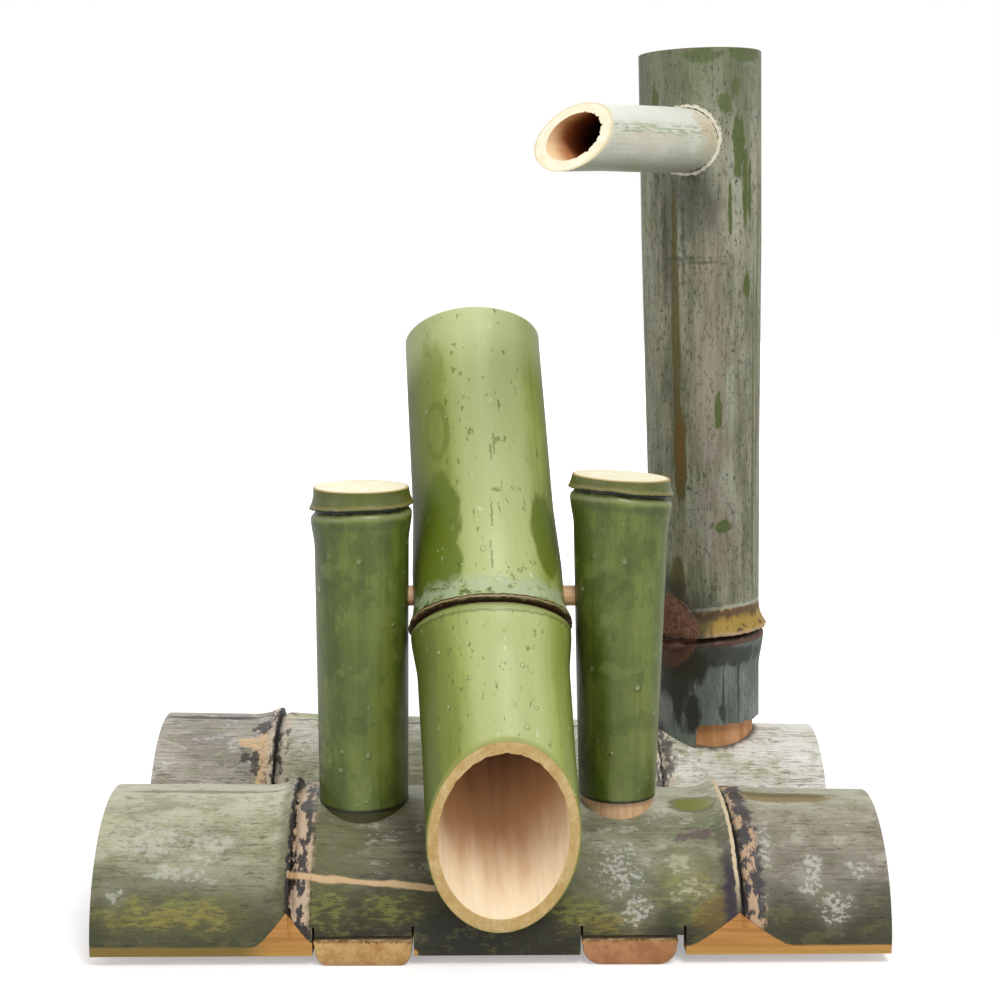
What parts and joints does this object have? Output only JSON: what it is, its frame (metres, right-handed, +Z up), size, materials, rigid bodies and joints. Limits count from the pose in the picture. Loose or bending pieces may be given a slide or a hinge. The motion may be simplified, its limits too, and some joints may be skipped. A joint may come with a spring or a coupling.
{
  "type": "bamboo tipping fountain",
  "caption": "Bamboo tipping fountain: a pivoting culm rocker hung between side posts on split culm feet, filled by a spout from a tall water post.",
  "frame": {"origin": "on the ground under the middle of the whole outline", "axes": "+X to the right along the base culms, +Y to the back, away from the rocker's mouth, +Z up"},
  "size_m": [0.3, 0.226, 0.3491],
  "materials": {
    "weathered_culm": "satin",
    "green_culm": "satin",
    "fresh_culm": "gloss",
    "waxy_culm": "matte",
    "pale_culm": "satin",
    "split_bamboo": "satin",
    "dowel_wood": "satin",
    "nail_steel": "satin"
  },
  "bodies": {
    "stand": {"front_base": "weathered_culm", "rear_base": "weathered_culm", "left_slat": "split_bamboo", "right_slat": "split_bamboo", "slat_nails": "nail_steel", "left_post": "green_culm", "right_post": "green_culm", "axle": "dowel_wood", "water_post": "waxy_culm", "spout": "pale_culm"},
    "rocker": {"rocker": "fresh_culm"}
  },
  "joints": [
    {"name": "rocker_tip", "type": "hinge", "parent": "stand", "child": "rocker", "pos_m": [0, -0.0434, 0.132], "axis": [-1, 0, 0], "range_deg": [0, 86.8]}
  ]
}
